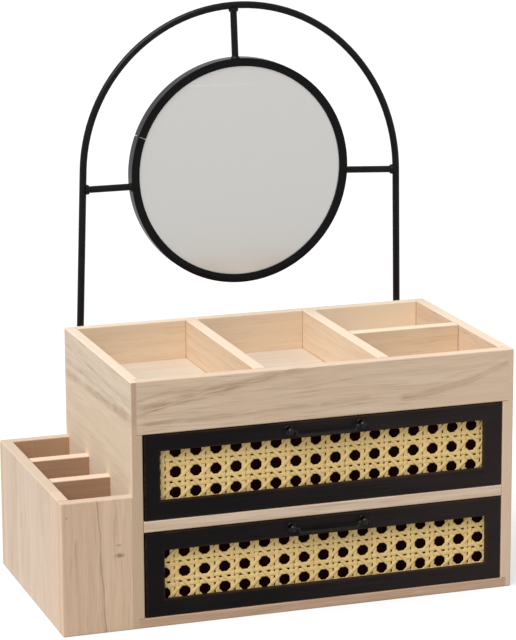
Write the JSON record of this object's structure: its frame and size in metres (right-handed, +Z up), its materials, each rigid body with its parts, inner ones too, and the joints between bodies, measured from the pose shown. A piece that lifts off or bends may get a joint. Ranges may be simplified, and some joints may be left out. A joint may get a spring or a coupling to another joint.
{
  "type": "vanity box with mirror",
  "caption": "Wooden vanity box with a round mirror on a bent black rod, a divided tray on top, a side bin and drawers with black-framed cane fronts.",
  "frame": {"origin": "under the middle of the whole outline, on the surface that the box stands on", "axes": "+Z up, the drawers' fronts face -Y, the side bin is on the -X side"},
  "size_m": [0.33, 0.186, 0.405],
  "materials": {
    "pale_wood": "sanded, clear matt",
    "tray_wood": "sanded, clear matt",
    "bin_wood": "sanded, clear matt",
    "drawer_wood": "sanded",
    "black_wood": "satin black paint",
    "cane": "natural gloss skin",
    "hardboard": "black, matt",
    "black_metal": "satin black",
    "mirror": "silvered glass",
    "zinc_steel": "zinc plated"
  },
  "bodies": {
    "carcass": {"top_front_board": "pale_wood", "middle_shelf": "pale_wood", "bottom_board": "pale_wood", "tray_floor": "tray_wood", "tray_divider_left": "tray_wood", "tray_divider_right": "tray_wood", "tray_cross_divider": "tray_wood", "bin_outer_wall": "bin_wood", "bin_floor": "bin_wood", "bin_divider_front": "bin_wood", "bin_divider_rear": "bin_wood", "bin_front_board": "bin_wood", "bin_back_board": "bin_wood", "side_board_left": "pale_wood", "side_board_right": "pale_wood", "back_board": "pale_wood", "arch_rod": "black_metal", "clip_screws": "zinc_steel", "mirror_rim": "black_metal", "mirror_glass": "mirror", "mirror_backing": "hardboard", "arch_clip_left_upper": "black_metal", "arch_clip_left_lower": "black_metal", "arch_clip_right_upper": "black_metal", "arch_clip_right_lower": "black_metal", "mirror_spoke_left": "black_metal", "mirror_spoke_right": "black_metal", "mirror_spoke_top": "black_metal"},
    "upper_drawer": {"upper_face_frame": "black_wood", "upper_cane": "cane", "upper_backing": "hardboard", "upper_side_left": "drawer_wood", "upper_side_right": "drawer_wood", "upper_inner_front": "drawer_wood", "upper_back": "drawer_wood", "upper_floor": "drawer_wood", "upper_handle_posts": "black_metal", "upper_handle_nuts": "zinc_steel"},
    "upper_bail": {"upper_handle_bail": "black_metal"},
    "lower_drawer": {"lower_face_frame": "black_wood", "lower_cane": "cane", "lower_backing": "hardboard", "lower_side_left": "drawer_wood", "lower_side_right": "drawer_wood", "lower_inner_front": "drawer_wood", "lower_back": "drawer_wood", "lower_floor": "drawer_wood", "lower_handle_posts": "black_metal", "lower_handle_nuts": "zinc_steel"},
    "lower_bail": {"lower_handle_bail": "black_metal"}
  },
  "joints": [
    {"name": "upper_drawer_slide", "type": "slide", "parent": "carcass", "child": "upper_drawer", "axis": [0, -1, 0], "range_m": [0, 0.12]},
    {"name": "upper_bail_swing", "type": "hinge", "parent": "upper_drawer", "child": "upper_bail", "pos_m": [0.0241, -0.0904, 0.131], "axis": [-1, 0, 0], "range_deg": [0, 100]},
    {"name": "lower_drawer_slide", "type": "slide", "parent": "carcass", "child": "lower_drawer", "axis": [0, -1, 0], "range_m": [0, 0.12]},
    {"name": "lower_bail_swing", "type": "hinge", "parent": "lower_drawer", "child": "lower_bail", "pos_m": [0.0259, -0.0904, 0.0613], "axis": [-1, 0, 0], "range_deg": [0, 100]}
  ]
}
